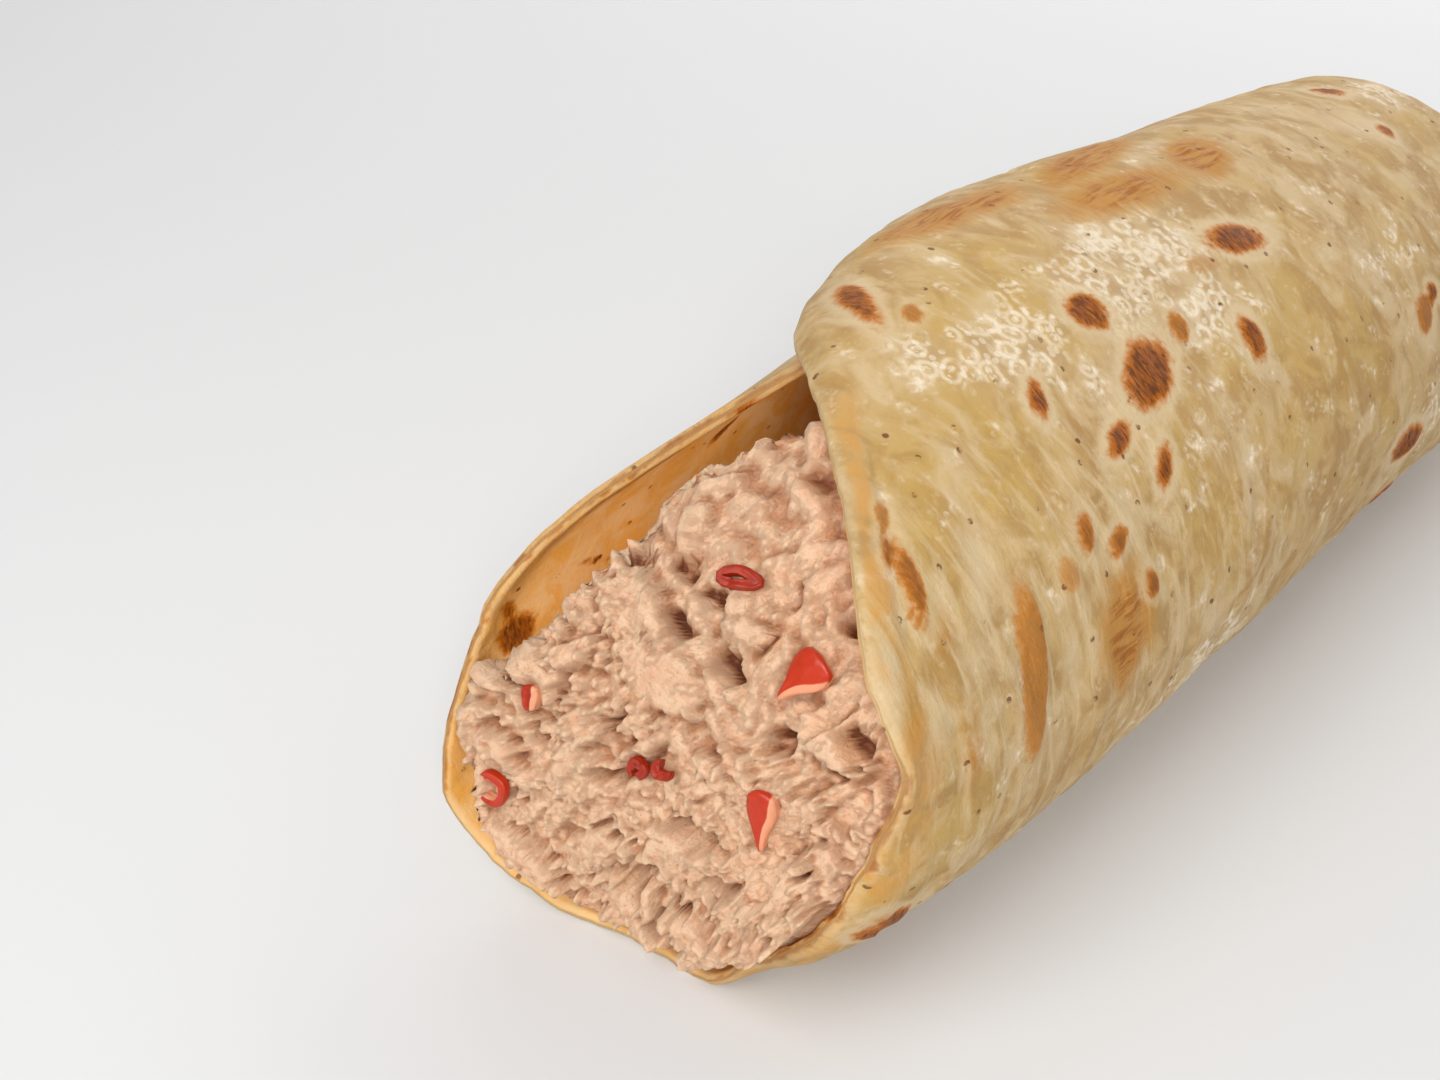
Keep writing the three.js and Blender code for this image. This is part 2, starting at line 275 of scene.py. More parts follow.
# The sheet's mesh is finest where the open end shows it, and along its edges.
COLUMN_ANGLES = (60, 110, 130, 320, 345, 500, 528)
COLUMN_STEPS = (5, 4.6, 2.6, 2.4, 1.6, 1.6, 2)
ROW_SHARES = (0, 0.6, 0.75, 0.97, 1)
ROW_STEPS = (0.0047, 0.0047, 0.009, 0.009, 0.005)
edge = np.array(EDGE_STEPS)
edge_turn = np.degrees(edge / SHEET_RADIUS)
columns = np.concatenate([
    START_ANGLE + edge_turn[:-1],
    spread(
        lambda angle: np.interp(angle, COLUMN_ANGLES, COLUMN_STEPS),
        START_ANGLE + edge_turn[-1], END_ANGLE - edge_turn[-1],
    ),
    END_ANGLE - edge_turn[-2::-1],
])
middle_rows = spread(lambda share: np.interp(share, ROW_SHARES, ROW_STEPS), 0, 1)

bread_mesh = bmesh.new()
column_count = len(columns) - 1
row_count = len(middle_rows) - 1 + 2 * (len(edge) - 1)
bmesh.ops.create_grid(bread_mesh, x_segments=column_count, y_segments=row_count, size=1)
copied = bmesh.ops.duplicate(bread_mesh, geom=bread_mesh.faces[:])["geom"]
inner_verts = [part for part in copied if isinstance(part, bmesh.types.BMVert)]
bmesh.ops.translate(bread_mesh, verts=inner_verts, vec=(0, 0, -1))
bmesh.ops.bridge_loops(bread_mesh, edges=[e for e in bread_mesh.edges if e.is_boundary])
grid = np.array([v.co for v in bread_mesh.verts])
column = np.rint((grid[:, 0] + 1) / 2 * column_count).astype(int)
row = np.rint((grid[:, 1] + 1) / 2 * row_count).astype(int)
face_side = np.where(grid[:, 2] > -0.5, 1.0, -1.0)


def uneven_edge(angle, broad, fine, kind):
    """A torn edge wanders by some mm over every 6 degrees, and a little within every 2."""
    return broad * noise_at(angle / 6, 0 * angle, kind[0]) + fine * noise_at(angle / 2.2, 0 * angle, kind[1])


random.seed(BREAD_SEED)
angle = columns[column]
front_y = front_rim(angle) + uneven_edge(angle, 0.35, 0.2, (3, 7))
back_y = back_rim(angle) + uneven_edge(angle, 0.5, 0.3, (11, 13))
from_front = row - (len(edge) - 1)
share = middle_rows[np.clip(from_front, 0, len(middle_rows) - 1)]
y = front_y + edge[-1] + (back_y - front_y - 2 * edge[-1]) * share
y = np.where(row < len(edge) - 1, front_y + edge[np.clip(row, 0, len(edge) - 1)], y)
from_back = row_count - row
y = np.where(from_back < len(edge) - 1, back_y - edge[np.clip(from_back, 0, len(edge) - 1)], y)
arc = np.radians(angle) * SHEET_RADIUS
to_edge = np.minimum.reduce([y - front_y, back_y - y, arc - arc.min(), arc.max() - arc])
rounding = np.sqrt(1 - (1 - np.clip(to_edge / EDGE_ROUNDING, 0, 1)) ** 2)
fullness = EDGE_THINNEST + (1 - EDGE_THINNEST) * rounding

# Where the hot plate browned it: angle, station, half length and half width in mm, turn off the round way in
# degrees, and how dark.
BROWN_MARKS = [
    (464, 49, 5, 1.4, 34, 0.7), (453, 50, 1.2, 0.9, 60, 0.5), (434, 68, 2.6, 2.1, -86, 0.8),
    (417, 69, 5, 3, 68, 1), (421, 78, 1.8, 1.2, 40, 0.55), (425, 53, 2, 1.2, 33, 0.8),
    (409, 59, 2.8, 1.2, 71, 0.8), (399, 63, 2.3, 1.2, 42, 0.8), (431, 98, 4.5, 2, -76, 0.95),
    (430, 89, 2.6, 1.2, -80, 0.3), (410, 87, 2.6, 1.5, 18, 0.8), (398, 47, 2, 1.2, 42, 0.6),
    (392, 51, 1.7, 1, 69, 0.6), (393, 42, 1.6, 1.2, 20, 0.4), (381, 33, 9, 1.8, 14, 0.5),
    (380, 54, 1.4, 1.2, -29, 0.6), (423, 26, 1.3, 0.6, 48, 0.5), (417, 23, 1.3, 0.9, 37, 0.6),
    (410, 23, 3.5, 1, 22, 0.6), (404, 21, 1.1, 0.5, -20, 0.5), (337, 15, 3.6, 1.5, -54, 0.8),
    (335, 12, 2.2, 1.2, -56, 0.8), (322, 84, 3, 1.2, 40, 0.9),
]
# Where it only toasted, in soft patches.
TOASTED_MARKS = [
    (375, 49, 5.2, 4.2, 14, 0.8), (369, 48, 3.2, 1.5, 0, 1), (472, 72, 8.5, 2.6, -81, 1),
    (468, 97, 9, 2.2, 81, 1), (454, 91, 8.5, 2.4, -83, 0.8), (454, 109, 4.2, 2.6, 72, 1.1),
    (386, 15, 3.6, 1.2, 24, 0.5), (376, 22, 3.4, 1.2, 4, 0.5), (398, 23, 2, 1.5, 30, 0.4),
]
# Bubbled, floury places, thin places that look yellow, and milky places of dough that stayed raw.
FLOURY_MARKS = [
    (437, 55, 7, 4.4, -83, 1), (440, 83, 10, 4.4, -74, 1), (432, 76, 6, 3.8, -86, 1),
    (422, 84, 7, 4, -83, 0.9), (445, 46, 4, 3, -69, 0.8), (441, 70, 5, 2.4, -69, 0.9),
    (424, 61, 3.2, 2, 84, 0.7), (346, 68, 4, 10, 0, 0.7), (404, 73, 5, 4, 20, 0.4),
]
YELLOW_MARKS = [
    (428, 42, 9, 6, 60, 1), (447, 60, 5, 8, 0, 0.6), (408, 94, 8, 5, 10, 0.9), (381, 68, 4, 3, 0, 0.8),
    (425, 30, 5, 3, 30, 0.8), (458, 42, 4, 4, 0, 0.6),
]
MILKY_MARKS = [
    (406, 32, 4.6, 2.2, 36, 1), (379, 40, 4, 2.2, 0, 0.8), (399, 15, 4, 1.4, 30, 1), (390, 26, 4, 2, 10, 0.5),
    (362, 36, 5, 3, 0, 0.5),
]
# The inner face is browner, and shows only inside the open left wall.
INNER_MARKS = [(183, 13, 2.4, 2.8, 0, 0.9), (175, 12, 1.6, 1.0, 20, 0.9), (177, 26, 3.0, 0.5, 60, 0.9)]


def any_place():
    """An angle and a station that lie open to view."""
    return random.uniform(165, END_ANGLE), random.uniform(8, LENGTH - 12)


# More of each on the far side, below and at the back.
for _ in range(52):
    at, station = any_place()
    size = random.uniform(0.9, 2.6)
    mark = (
        at, station, size * random.uniform(1.1, 2.2), size, random.uniform(-90, 90), random.uniform(0.4, 1),
    )
    if at < 318 or station > 116:
        BROWN_MARKS.append(mark)
    at, station = any_place()
    half_size = (random.uniform(3, 8), random.uniform(2, 4))
    if at < 325 or station > 118:
        kind = random.choice((TOASTED_MARKS, FLOURY_MARKS, FLOURY_MARKS, YELLOW_MARKS, MILKY_MARKS))
        kind.append((at, station, *half_size, random.uniform(-90, 90), random.uniform(0.5, 1)))
    INNER_MARKS.append((
        random.uniform(70, 500), random.uniform(5, LENGTH), random.uniform(1, 3.5), random.uniform(0.8, 2),
        random.uniform(-90, 90), random.uniform(0.4, 0.9),
    ))

is_outer = face_side > 0
browned, brown_tone = inside_marks(angle, y, BROWN_MARKS)
inner_browned, inner_tone = inside_marks(angle, y, INNER_MARKS)
browned = np.where(is_outer, browned, inner_browned)
brown_tone = np.where(is_outer, brown_tone, inner_tone)


def patch_share(marks, soft):
    inside, tone = inside_marks(angle, y, marks)
    return smooth(-soft, soft, inside) * tone * is_outer


toasted = patch_share(TOASTED_MARKS, 2.3)
floury = patch_share(FLOURY_MARKS, 2.4)
yellow = patch_share(YELLOW_MARKS, 4.0)
milky = patch_share(MILKY_MARKS, 1.5)
pulled = span(angle, 300, 340, 405, 432) * (1 - smooth(62, 90, y)) * is_outer

# The rim is golden round the open end, on the left and below, and along the flap's edge.
from_rim = y - front_y
around_open = span(angle, 110, 140, 205, 225) + span(angle, 272, 300, 372, 392)
flap_edge = span(angle, 392, 402, 440, 455)
from_golden = from_rim + 1.2 * noise_at(arc / 5, y / 5, 21)
golden = around_open * (1 - smooth(2.0, 6.0, from_golden)) + flap_edge * span(from_golden, 0.6, 1.6, 3.4, 5.2)


def groove(away, half_wide):
    return np.exp(-((away / half_wide) ** 2))


# The sheet is puffed and rumpled all over, blistered where it browned, and pulled into folds round the lower
# right. A tuck crosses the right side, a crease runs along the flap's edge and another over the top, and the
# flap's upper corner stands up a little.
puffs = 0.42 * noise_at(arc / 13, y / 13, 0) + 0.3 * noise_at(arc / 5, y / 5, 4)
blisters = 0.22 * noise_at(arc / 2.4, y / 2.4, 9) * (0.35 + floury + toasted)
blisters += 0.3 * smooth(-0.5, 0.6, browned)
folds = pulled * (0.34 * noise_at(arc / 22, y / 2.6, 2) + 0.2 * noise_at(arc / 14, y / 1.5, 5))
from_tuck = y - (34.9 + 0.12 * (angle - 381))
folds += 0.55 * span(angle, 358, 366, 394, 402) * is_outer * span(from_tuck, -3.4, -0.6, -0.5, 0.5)
edge_crease = span(from_rim, 0, 1.5, 3.2, 4.6) - groove(from_rim - 5.2, 0.8)
folds += 0.3 * span(angle, 388, 398, 432, 446) * is_outer * edge_crease
from_far_crease = y - 86 - 0.4 * (angle - 465)
folds -= 0.35 * span(angle, 440, 458, 486, 500) * is_outer * groove(from_far_crease, 1.2)
folds += 1.7 * span(angle, 440, 456, 492, 506) * span(from_rim, 0, 3.6, 7, 24)
free = smooth(130, 170, angle)
relief = free * (puffs + is_outer * blisters + folds)
bread_points = in_roll(angle, y, face_side * fullness * THICKNESS / 2 + relief)
for vert, place in zip(bread_mesh.verts, (bread_points + ROLL_PLACE) * MM):
    vert.co = place
bmesh.ops.recalc_face_normals(bread_mesh, faces=bread_mesh.faces)
chapati = object_from(bread_mesh, "chapati_bread")


def keep(mesh, name, values, kind="FLOAT"):
    """Keeps one value or vector for each vertex, for the material."""
    layer = mesh.attributes.new(name, kind, "POINT")
    layer.data.foreach_set("value" if kind == "FLOAT" else "vector", np.asarray(values, np.float32).ravel())


sheet_place = np.stack([arc + np.where(is_outer, 0, INNER_FACE_AWAY), y, face_side * fullness], axis=-1)
keep(chapati.data, "sheet_place", sheet_place, "FLOAT_VECTOR")
for name, values in (
    ("browned", browned), ("brown_tone", brown_tone), ("toasted", toasted), ("floury", floury),
    ("yellow", yellow), ("milky", milky), ("pulled", pulled), ("from_rim", from_rim),
    ("inner", smooth(0.3, -0.5, face_side * fullness)), ("golden", golden),
):
    keep(chapati.data, name, values)


def add_node(kind, inputs=(), **settings):
    """One node of the material in the making: a plain value sets its socket, and a socket is linked to it."""
    node = tree.nodes.new(kind)
    for name, value in settings.items():
        setattr(node, name, value)
    for socket, value in dict(inputs).items():
        if isinstance(value, bpy.types.NodeSocket):
            tree.links.new(value, node.inputs[socket])
        else:
            node.inputs[socket].default_value = value
    return node


def roughen(height, strength, deep):
    bump = add_node("ShaderNodeBump", {"Height": height, "Strength": strength, "Distance": deep * MM})
    tree.links.new(bump.outputs["Normal"], shader.inputs["Normal"])


def set_shine(shine, soaking, radius, deep):
    """How much the food shines, and how much light soaks in and how deep, in mm."""
    shader.inputs["Specular IOR Level"].default_value = shine
    shader.inputs["Subsurface Weight"].default_value = soaking
    shader.inputs["Subsurface Radius"].default_value = radius
    shader.inputs["Subsurface Scale"].default_value = deep * MM


def attribute(name, output="Fac"):
    return add_node("ShaderNodeAttribute", attribute_name=name).outputs[output]


def calculate(operation, *values):
    return add_node("ShaderNodeMath", dict(enumerate(values)), operation=operation).outputs[0]


def times(a, b):
    return calculate("MULTIPLY", a, b)


def plus(a, b):
    return calculate("ADD", a, b)


def stretched(vector, scale, move=(0, 0, 0)):
    inputs = {"Vector": vector, "Scale": scale, "Location": move}
    return add_node("ShaderNodeMapping", inputs).outputs["Vector"]


def grain(vector, scale, detail=3.0, distortion=0.0):
    inputs = {"Vector": vector, "Scale": scale, "Detail": detail, "Distortion": distortion, "Roughness": 0.55}
    return add_node("ShaderNodeTexNoise", inputs).outputs["Fac"]


def cells(vector, scale):
    inputs = {"Vector": vector, "Scale": scale}
    return add_node("ShaderNodeTexVoronoi", inputs, voronoi_dimensions="2D").outputs["Distance"]


def share_of(value, low, high, top=1.0):
    """Smooth steps from 0 at low to top at high."""
    inputs = {"Value": value, "From Min": low, "From Max": high, "To Min": 0.0, "To Max": top}
    return add_node("ShaderNodeMapRange", inputs, interpolation_type="SMOOTHSTEP").outputs["Result"]


def blend_colour(share, under, over):
    over = over if isinstance(over, bpy.types.NodeSocket) else linear(over)
    under = under if isinstance(under, bpy.types.NodeSocket) else linear(under)
    return add_node("ShaderNodeMix", {0: share, 6: under, 7: over}, data_type="RGBA").outputs[2]


CREAM = (200, 168, 116)
TAN = (178, 140, 86)
STRAW = (194, 157, 82)
MILK = (216, 191, 150)
FLOUR = (236, 218, 190)
BUBBLE_SHADE = (182, 146, 104)
TOAST = (190, 132, 54)
RUST = (192, 108, 6)
BROWN = (144, 72, 0)
CHAR = (98, 44, 0)
INNER_GOLD = (234, 172, 80)
INNER_TAN = (238, 192, 126)
RIM_GOLD = (206, 150, 74)
REDDISH = (154, 80, 12)
# How strongly the inner face glows as painted light.
PAINTED_INNER_GLOW = 0.25

bread_material, tree, shader = new_material("chapati_crust", 0.6)
sheet = attribute("sheet_place", "Vector")
broad = grain(sheet, 0.07, 3)
mottle = grain(sheet, 0.2, 5, 0.7)
blotches = grain(stretched(sheet, (0.75, 1.1, 1), (31, 17, 5)), 0.17, 5, 1.0)
fine = grain(sheet, 1.1, 4, 0.4)
streaks = grain(stretched(sheet, (0.1, 0.5, 1)), 1.0, 3, 0.8)
thin_streaks = grain(stretched(sheet, (0.25, 1.5, 1)), 1.0, 3, 0.5)
pulled_share = attribute("pulled")

colour = blend_colour(share_of(mottle, 0.4, 0.62), TAN, CREAM)
yellow_share = plus(share_of(broad, 0.42, 0.68, 0.6), times(attribute("yellow"), 0.85))
yellow_share = times(yellow_share, share_of(mottle, 0.15, 0.6))
colour = blend_colour(yellow_share, colour, STRAW)
colour = blend_colour(share_of(blotches, 0.45, 0.7, 0.7), colour, MILK)
streak_share = times(share_of(streaks, 0.48, 0.66), plus(times(pulled_share, 0.55), 0.12))
colour = blend_colour(streak_share, colour, MILK)
dark_streak = times(share_of(thin_streaks, 0.44, 0.3), plus(times(pulled_share, 0.16), 0.05))
colour = blend_colour(dark_streak, colour, TOAST)
milky_share = times(attribute("milky"), share_of(streaks, 0.28, 0.5))
colour = blend_colour(times(milky_share, 0.85), colour, MILK)

# Flour lies in rings round small bubbles and in dots, in clumps.
wander = add_node("ShaderNodeTexNoise", {"Vector": sheet, "Scale": 0.6, "Detail": 2.0}).outputs["Color"]
wandering = add_node("ShaderNodeMix", {0: 0.96, 4: wander, 5: sheet}, data_type="VECTOR").outputs[1]
big_cells = cells(wandering, 0.42)
small_cells = cells(stretched(wandering, (1, 1, 1), (7, 3, 0)), 0.8)
floury_share = attribute("floury")
clump = share_of(plus(grain(sheet, 0.3, 4), times(floury_share, 0.34)), 0.56, 0.78)
ring = times(share_of(big_cells, 0.58, 0.42), share_of(big_cells, 0.2, 0.36))
dots = share_of(small_cells, 0.36, 0.24)
flour_share = times(clump, plus(times(ring, 0.75), times(dots, 0.6)))
flour_share = plus(flour_share, times(times(clump, share_of(blotches, 0.5, 0.6)), 0.5))
colour = blend_colour(times(floury_share, 0.55), colour, MILK)
colour = blend_colour(times(clump, share_of(big_cells, 0.5, 0.75, 0.5)), colour, BUBBLE_SHADE)
colour = blend_colour(times(flour_share, 0.9), colour, FLOUR)
lone_dots = times(share_of(big_cells, 0.22, 0.12), share_of(fine, 0.48, 0.62))
colour = blend_colour(times(lone_dots, plus(times(clump, 0.6), 0.2)), colour, FLOUR)

toasted_share = attribute("toasted")
toast_edge = plus(toasted_share, times(plus(mottle, thin_streaks), 0.5))
toast_share = times(share_of(toast_edge, 0.5, 1.05, 0.85), share_of(toasted_share, 0.0, 0.2))
colour = blend_colour(toast_share, colour, TOAST)
red_streaks = share_of(grain(stretched(sheet, (1.5, 0.2, 1)), 1.0, 4, 0.3), 0.42, 0.62)
red_share = times(share_of(toast_edge, 0.85, 1.2, 0.75), red_streaks)
colour = blend_colour(red_share, colour, REDDISH)

inner_grain = blend_colour(share_of(mottle, 0.36, 0.62), INNER_GOLD, INNER_TAN)
inner_share = attribute("inner")
colour = blend_colour(inner_share, colour, inner_grain)
golden_share = times(attribute("golden"), share_of(plus(mottle, blotches), 0.75, 1.1))
colour = blend_colour(times(golden_share, 0.8), colour, RIM_GOLD)
rim_distance = attribute("from_rim")
rim_share = times(share_of(rim_distance, 1.1, 0.2), share_of(fine, 0.3, 0.55))
colour = blend_colour(times(rim_share, 0.35), colour, MILK)
rim_line = share_of(plus(rim_distance, times(mottle, 1.6)), 0.95, 0.6)
rim_line = times(rim_line, attribute("golden"))
colour = blend_colour(times(rim_line, 0.75), colour, REDDISH)

# The spots are rust-brown, charred along their fibres, and have a pale halo and a ragged edge.
edge_noise = plus(times(plus(fine, -0.5), 1.1), times(plus(mottle, -0.5), 1.8))
browned_depth = plus(attribute("browned"), edge_noise)
tone = attribute("brown_tone")
fibres = grain(stretched(sheet, (0.6, 2.4, 1)), 1.0, 4, 0.6)
halo = times(share_of(browned_depth, -1.9, -0.6, 0.85), share_of(tone, 0.2, 0.9))
halo = times(halo, share_of(inner_share, 0.5, 0.0))
colour = blend_colour(halo, colour, MILK)
spot_share = times(share_of(browned_depth, -0.55, 0.3), share_of(tone, 0.0, 0.6, 0.96))
spot = blend_colour(share_of(browned_depth, -0.1, 0.9), RUST, BROWN)
char_share = times(share_of(tone, 0.2, 0.9), share_of(browned_depth, -0.1, 0.7))
char_share = times(share_of(fibres, 0.54, 0.42), char_share)
spot = blend_colour(char_share, spot, CHAR)
spot = blend_colour(share_of(fibres, 0.56, 0.7, 0.8), spot, RUST)
spot = blend_colour(share_of(tone, 0.75, 0.35, 0.7), spot, TOAST)
colour = blend_colour(spot_share, colour, spot)
specks = times(share_of(cells(sheet, 0.13), 0.055, 0.035), share_of(fine, 0.4, 0.6))
colour = blend_colour(times(specks, 0.8), colour, CHAR)
tree.links.new(colour, shader.inputs["Base Color"])

# Painted light: the inner face glows with its own colour near the open end, in place of light through the
# thin bread.
tree.links.new(colour, shader.inputs["Emission Color"])
painted_glow = times(times(inner_share, PAINTED_INNER_GLOW), share_of(rim_distance, 56.0, 24.0))
painted_glow = times(painted_glow, share_of(rim_distance, 0.5, 6.0))
tree.links.new(painted_glow, shader.inputs["Emission Strength"])

relief_height = plus(times(fine, 0.5), times(thin_streaks, plus(times(pulled_share, 0.25), 0.06)))
relief_height = plus(relief_height, times(grain(sheet, 2.6, 2), 0.22))
relief_height = plus(relief_height, times(flour_share, 0.35))
relief_height = plus(relief_height, times(times(spot_share, fibres), 0.5))
roughen(relief_height, 0.55, 0.45)
roughness = plus(share_of(plus(flour_share, times(fine, 0.6)), 0.1, 1.0, 0.32), 0.53)
tree.links.new(roughness, shader.inputs["Roughness"])
set_shine(0.16, 0.16, (1.0, 0.6, 0.3), 1.2)
chapati.data.materials.append(bread_material)
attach(chapati, "root")
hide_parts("chapati")

# The filling: flaked tuna bound with mayonnaise, packed along the whole roll. It shows at both ends as a
# craggy heap of torn flakes and smeared clumps, set back from the rim and leaning back as it rises.
FILLING_FOOT = 4.6
FILLING_LEAN = 29
FILLING_TOP = 50
FILLING_SKEW = 0.17
BACK_INSET = 3
BACK_LEAN = 17
FILLING_CLEARANCE = 0.5
CORE_HEIGHT = 27
SIDE_STEP = 32
CREST_TURNS = (0, 84, 96, 118, 126, 130, 150, 168, 174, 181, 190, 200, 360)
CREST_SHARES = (1, 0.97, 1, 1, 0.91, 0.78, 0.74, 0.69, 0.71, 0.88, 0.95, 1, 1)
WALL_ROOM = 0.35
CORE_SINK = 0.9
RELIEF = 1.22
FLAKE_EDGE = 0.26
RAGGED = 0.42
FLAKE_SEED = 23
EVEN_TURN = 0.618034
LONGEST_LINK = 3


def front_station(x, z):
    return FILLING_FOOT + FILLING_LEAN * (z / FILLING_TOP) ** 3 + FILLING_SKEW * x


def back_station(x, z):
    return LENGTH - BACK_INSET - BACK_LEAN * (z / FILLING_TOP) ** 2 + 0 * x


def front_crest(turn):
    """How far out the front heap reaches before it falls away, as a share of the way to the wall."""
    return np.interp(turn % 360, CREST_TURNS, CREST_SHARES)


def back_crest(turn):
    return 1 + 0 * turn


def first_layer(angle):
    """How far to wind back from the flap's layer to the one below it, which holds the filling."""
    return 360 * smooth(372, 418, angle)


def filling_wall(angle, y):
    return in_roll(angle, y, -THICKNESS / 2 - FILLING_CLEARANCE, first_layer(angle))


def end_edge(station, angle):
    place = filling_wall(angle, station(0 * angle, CORE_HEIGHT))
    for _ in range(5):
        place = filling_wall(angle, station(place[:, 0], place[:, 2]))
    return place


def end_normal(station, outward, x, z):
    step = 0.5
    along_x = (station(x + step, z) - station(x - step, z)) / (2 * step)
    along_z = (station(x, z + step) - station(x, z - step)) / (2 * step)
    normal = np.stack([-along_x * outward, outward + 0 * along_x, -along_z * outward], axis=-1)
    return normal / np.linalg.norm(normal, axis=-1, keepdims=True)


def skin_place(end, angle, reach):
    """A place on an end, for a reach up to 1, and past that on its side, which drops away in the open."""
    station, outward, crest = end
    edge_place = end_edge(station, angle)
    turn = np.degrees(np.arctan2(edge_place[:, 2] - CORE_HEIGHT, edge_place[:, 0]))
    share = np.minimum(reach, 1) * crest(turn)
    x = edge_place[:, 0] * share
    z = CORE_HEIGHT + (edge_place[:, 2] - CORE_HEIGHT) * share
    open_side = span(angle % 360, 30, 60, 195, 215) * (outward < 0)
    left = smooth(100, 140, angle % 360)
    falls = np.stack([
        -open_side * (0.1 + 0.2 * left), -outward * (1 - 0.45 * open_side), -0.85 * open_side,
    ], axis=-1)
    past = np.clip(reach - 1, 0, None) * SIDE_STEP
    return np.stack([x, station(x, z), z], axis=-1) + falls * past[:, None]


def frame_at(place, out):
    """A matrix for a body at a place: its x runs across, its y up the slope and its z out."""
    across = -(Vector((1, 0, 0)).cross(out)).cross(out).normalized()
    return Matrix.Translation(place) @ Matrix((across, out.cross(across), out)).transposed().to_4x4()


def end_frame(station, outward, x, z):
    out = Vector(end_normal(station, outward, np.array([x]), np.array([z]))[0])
    return frame_at(Vector((x, float(station(x, z)), z)), out)


def turned(lie):
    return Matrix.Rotation(math.radians(lie), 4, "Z")


# Each end starts as a square sheet, drawn out into a disc that goes on a little way back along the side.
filling_mesh = bmesh.new()
heaps = []
for end, count, side_reach in (
    ((front_station, -1, front_crest), 236, 0.42), ((back_station, 1, back_crest), 130, 0.1),
):
    first = len(filling_mesh.verts)
    bmesh.ops.create_grid(filling_mesh, x_segments=count, y_segments=count, size=1)
    filling_mesh.verts.ensure_lookup_table()
    flat = np.array([v.co for v in filling_mesh.verts[first:]])
    order = np.lexsort((np.rint(flat[:, 0] * count), np.rint(flat[:, 1] * count)))
    u, v = flat[order, 0], flat[order, 1]
    across, up = u * np.sqrt(1 - v * v / 2), v * np.sqrt(1 - u * u / 2)
    around = START_ANGLE + (np.degrees(np.arctan2(up, across)) - START_ANGLE) % 360
    open_side = span(around % 360, 0, 40, 200, 230)
    reach = np.hypot(across, up) * (1.03 + side_reach * open_side)
    base = skin_place(end, around, reach)
    rows = base.reshape(count + 1, count + 1, 3)
    normal = np.cross(np.gradient(rows, axis=1), np.gradient(rows, axis=0)).reshape(-1, 3)
    normal /= np.maximum(np.linalg.norm(normal, axis=1), 1e-9)[:, None]
    normal *= end[1] * np.sign(normal[len(normal) // 2, 1])
    heave = 1.6 * noise_at(*(base / 7).T) + 0.6 * noise_at(*(base / 3.2 + 9).T) - CORE_SINK
    if end[1] < 0:
        # Fuller at the lower right, and lower at the bottom, where the rim shows.
        heave += 1.5 * span(around, 282, 300, 345, 372) * smooth(0.8, 0.97, reach)
        heave -= 0.9 * span(around, 215, 235, 282, 300) * smooth(0.86, 1.0, reach)
    heaps.append({
        "first": first, "order": order, "end": end, "base": base, "normal": normal, "height": heave,
        "meets": smooth(0.9, 1.0, np.hypot(across, up)),
        "fibre": base[:, (0, 2, 1)].copy(), "tone": np.full(len(base), 0.5),
    })


def lay_flake(heap, place, lie, long, wide, proud, tilt, fibres, seed):
    """Lays one torn flake on a heap: its fibres run along its x and end unevenly."""
    own = place @ turned(lie)
    local = (heap["base"] - np.array(own.translation)) @ np.array(own.to_3x3())
    near = np.nonzero(
        (np.abs(local[:, 0]) < 0.75 * long) & (np.abs(local[:, 1]) < 0.8 * wide) & (np.abs(local[:, 2]) < 5)
    )[0]
    if len(near) < 4:
        return
    x, y = local[near, 0], local[near, 1]
    end_noise = RAGGED * noise_at(seed, y / 0.8, 0) + 0.8 * RAGGED * noise_at(x / 1.3, y / 1.3, seed)
    off = (np.abs(2 * x / long) ** 2.1 + np.abs(2 * y / wide) ** 2.1) ** (1 / 2.1)
    off = off + end_noise * (0.6 + 0.7 * np.abs(2 * x / long)) + 0.2 * noise_at(x / 0.45, y / 0.45, seed)
    inside = (1 - off) * min(long, wide) / 2
    ridges = fibres * (0.5 - 2 * np.abs(noise_at(x / 2.4, y / 0.5, seed)))
    ridges += 0.5 * fibres * (0.5 - 2 * np.abs(noise_at(x / 1.3, y / 0.26, seed + 7)))
    under = heap["height"][near]
    middle = under[np.hypot(x / long, y / wide) < 0.35]
    level = (np.percentile(middle, 65) if len(middle) else under.mean()) + proud
    crown = (2 * x / long) ** 2 * 0.16 * proud + (2 * y / wide) ** 2 * 0.3 * proud
    top = level + tilt[0] * x + tilt[1] * y - crown + ridges
    top -= (1 - smooth(0, FLAKE_EDGE, inside)) * 1.8
    wins = (top > under) & (inside > 0)
    chosen = near[wins]
    heap["height"][chosen] = top[wins]
    heap["fibre"][chosen] = np.stack([x, y, 0 * x + seed], axis=-1)[wins]
    heap["tone"][chosen] = (seed * 0.377) % 1


random.seed(FLAKE_SEED)


